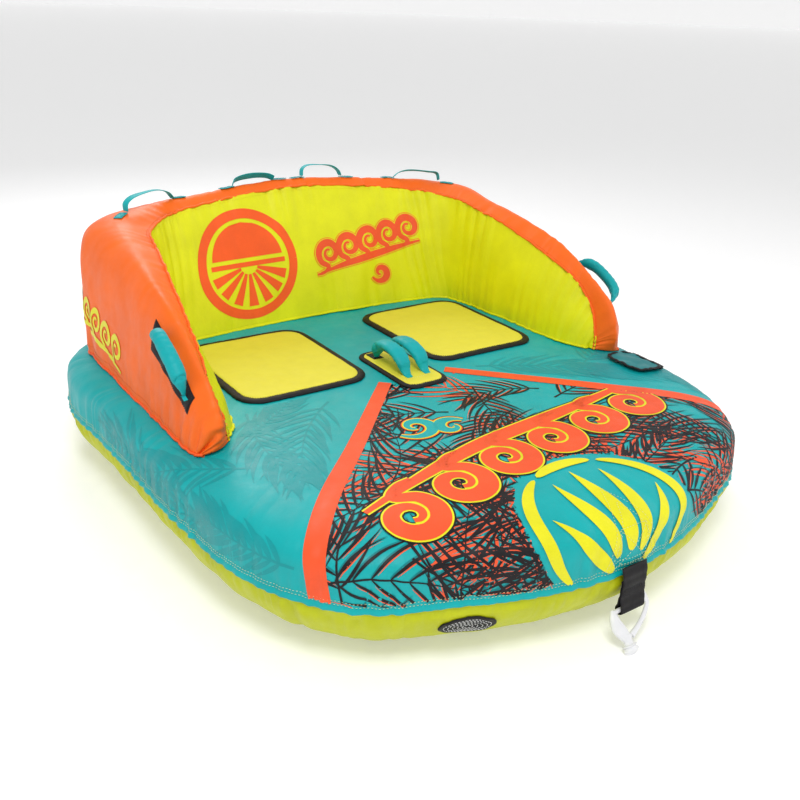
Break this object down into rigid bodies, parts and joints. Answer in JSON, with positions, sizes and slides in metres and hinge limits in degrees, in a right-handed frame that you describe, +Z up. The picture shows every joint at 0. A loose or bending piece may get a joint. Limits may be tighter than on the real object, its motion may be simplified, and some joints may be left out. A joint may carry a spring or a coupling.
{
  "type": "towable tube",
  "caption": "Inflatable ride-on tube towed behind a boat, with a U-shaped padded backrest, side-by-side seat pads, webbing grips, a tow strap and a quick hook.",
  "frame": {"origin": "centre of the footprint of the whole object, on the surface that the flat bottom of the deck stands on", "axes": "+Z up; -Y points to the tow point, so the backrest closes the +Y end; +X is to the left of a rider who faces the boat, and names with left lie on -X, as seen from the tow end"},
  "size_m": [1.6328, 1.844, 0.776],
  "materials": {
    "black_webbing": "woven binding and webbing, matt",
    "bladder_film": "smooth vinyl film",
    "lime_cover": "woven nylon cover, satin",
    "orange_cover": "woven nylon cover, satin",
    "teal_cover": "woven nylon cover, sublimated print, satin",
    "teal_webbing": "woven webbing, satin",
    "valve_membrane": "thin soft rubber",
    "vent_mesh": "open mesh, matt",
    "white_plastic": "moulded nylon, satin",
    "yellow_cover": "woven nylon cover, satin",
    "yellow_pad": "soft foam pad, fine grain"
  },
  "bodies": {
    "tube": {"base_top_cover": "teal_cover", "base_bottom_cover": "lime_cover", "base_bladder": "bladder_film", "backrest_outer_cover": "orange_cover", "backrest_inner_panel": "yellow_cover", "backrest_bladder": "bladder_film", "seat_pad_left": "yellow_pad", "seat_pad_left_binding": "black_webbing", "seat_pad_right": "yellow_pad", "seat_pad_right_binding": "black_webbing", "centre_pad": "yellow_pad", "centre_pad_binding": "black_webbing", "top_handle_1_tab_a": "teal_webbing", "top_handle_1_tab_b": "teal_webbing", "top_handle_2_tab_a": "teal_webbing", "top_handle_2_tab_b": "teal_webbing", "top_handle_3_tab_a": "teal_webbing", "top_handle_3_tab_b": "teal_webbing", "top_handle_4_tab_a": "teal_webbing", "top_handle_4_tab_b": "teal_webbing", "side_patch_left": "black_webbing", "side_patch_right": "black_webbing", "base_valve_body": "white_plastic", "base_valve_insert": "white_plastic", "base_valve_membrane": "valve_membrane", "backrest_valve_body": "white_plastic", "backrest_valve_insert": "white_plastic", "backrest_valve_membrane": "valve_membrane", "valve_flap_hem": "black_webbing", "drain_vent_mesh": "vent_mesh", "drain_vent_binding": "black_webbing", "tow_anchor": "black_webbing", "tow_harness": "black_webbing", "tow_patch": "teal_cover", "base_zip": "black_webbing", "backrest_zip": "black_webbing"},
    "centre_grip_left": {"centre_grip_left": "teal_webbing"},
    "centre_grip_right": {"centre_grip_right": "teal_webbing"},
    "top_handle_1": {"top_handle_1": "teal_webbing"},
    "top_handle_2": {"top_handle_2": "teal_webbing"},
    "top_handle_3": {"top_handle_3": "teal_webbing"},
    "top_handle_4": {"top_handle_4": "teal_webbing"},
    "side_grip_left": {"side_grip_left": "teal_webbing"},
    "side_grip_right": {"side_grip_right": "teal_webbing"},
    "base_valve_cap": {"base_valve_cap": "white_plastic"},
    "backrest_valve_cap": {"backrest_valve_cap": "white_plastic"},
    "valve_flap": {"valve_flap": "teal_cover"},
    "tow_strap": {"tow_strap": "black_webbing"},
    "quick_hook": {"quick_hook": "white_plastic"},
    "base_zip_slider": {"base_zip_slider": "white_plastic"},
    "backrest_zip_slider": {"backrest_zip_slider": "white_plastic"}
  },
  "joints": [
    {"name": "centre_grip_left_swing", "type": "hinge", "parent": "tube", "child": "centre_grip_left", "pos_m": [-0.031, 0.0044, 0.3276], "axis": [0, -1, 0], "range_deg": [0, 45]},
    {"name": "centre_grip_right_swing", "type": "hinge", "parent": "tube", "child": "centre_grip_right", "pos_m": [0.031, 0.0044, 0.3276], "axis": [0, 1, 0], "range_deg": [0, 45]},
    {"name": "top_handle_1_flop", "type": "hinge", "parent": "tube", "child": "top_handle_1", "pos_m": [-0.5627, 0.698, 0.6984], "axis": [0.9527, 0.2881, 0.0963], "range_deg": [-70, 60]},
    {"name": "top_handle_2_flop", "type": "hinge", "parent": "tube", "child": "top_handle_2", "pos_m": [-0.1956, 0.7639, 0.7327], "axis": [0.9982, 0.0239, 0.0546], "range_deg": [-25, 100]},
    {"name": "top_handle_3_flop", "type": "hinge", "parent": "tube", "child": "top_handle_3", "pos_m": [0.0502, 0.7674, 0.7406], "axis": [0.9982, -0.0239, -0.0546], "range_deg": [-70, 60]},
    {"name": "top_handle_4_flop", "type": "hinge", "parent": "tube", "child": "top_handle_4", "pos_m": [0.4035, 0.7461, 0.7145], "axis": [0.9527, -0.2881, -0.0963], "range_deg": [-40, 80]},
    {"name": "side_grip_left_swing", "type": "hinge", "parent": "tube", "child": "side_grip_left", "pos_m": [-0.7007, -0.0451, 0.4333], "axis": [0.0005, 0.8937, 0.4486], "range_deg": [-122, 12]},
    {"name": "side_grip_right_swing", "type": "hinge", "parent": "tube", "child": "side_grip_right", "pos_m": [0.7006, 0.1244, 0.5184], "axis": [0.0005, -0.8937, -0.4486], "range_deg": [-74, 50]},
    {"name": "tow_strap_swing", "type": "hinge", "parent": "tube", "child": "tow_strap", "pos_m": [0, -0.8466, 0.152], "axis": [-1, 0, 0], "range_deg": [0, 100]},
    {"name": "quick_hook_swing", "type": "hinge", "parent": "tow_strap", "child": "quick_hook", "pos_m": [0, -0.8466, 0.074], "axis": [-1, 0, 0], "range_deg": [-40, 60]},
    {"name": "valve_flap_lift", "type": "hinge", "parent": "tube", "child": "valve_flap", "pos_m": [0.6924, -0.274, 0.3083], "axis": [-0.0029, 0.9998, 0.0203], "range_deg": [0, 140]},
    {"name": "base_valve_cap_turn", "type": "hinge", "parent": "tube", "child": "base_valve_cap", "pos_m": [0.64, -0.2216, 0.3047], "axis": [0.0955, -0.0107, 0.9954], "range_deg": [0, 180]},
    {"name": "backrest_valve_cap_turn", "type": "hinge", "parent": "tube", "child": "backrest_valve_cap", "pos_m": [0.1759, 0.8484, 0.5812], "axis": [0.0012, 0.975, 0.2222], "range_deg": [0, 180]},
    {"name": "base_zip_slider_run", "type": "slide", "parent": "tube", "child": "base_zip_slider", "axis": [-1, 0, 0], "range_m": [0, 0.568]},
    {"name": "backrest_zip_slider_run", "type": "slide", "parent": "tube", "child": "backrest_zip_slider", "axis": [-1, 0, 0], "range_m": [0, 0.568]}
  ]
}
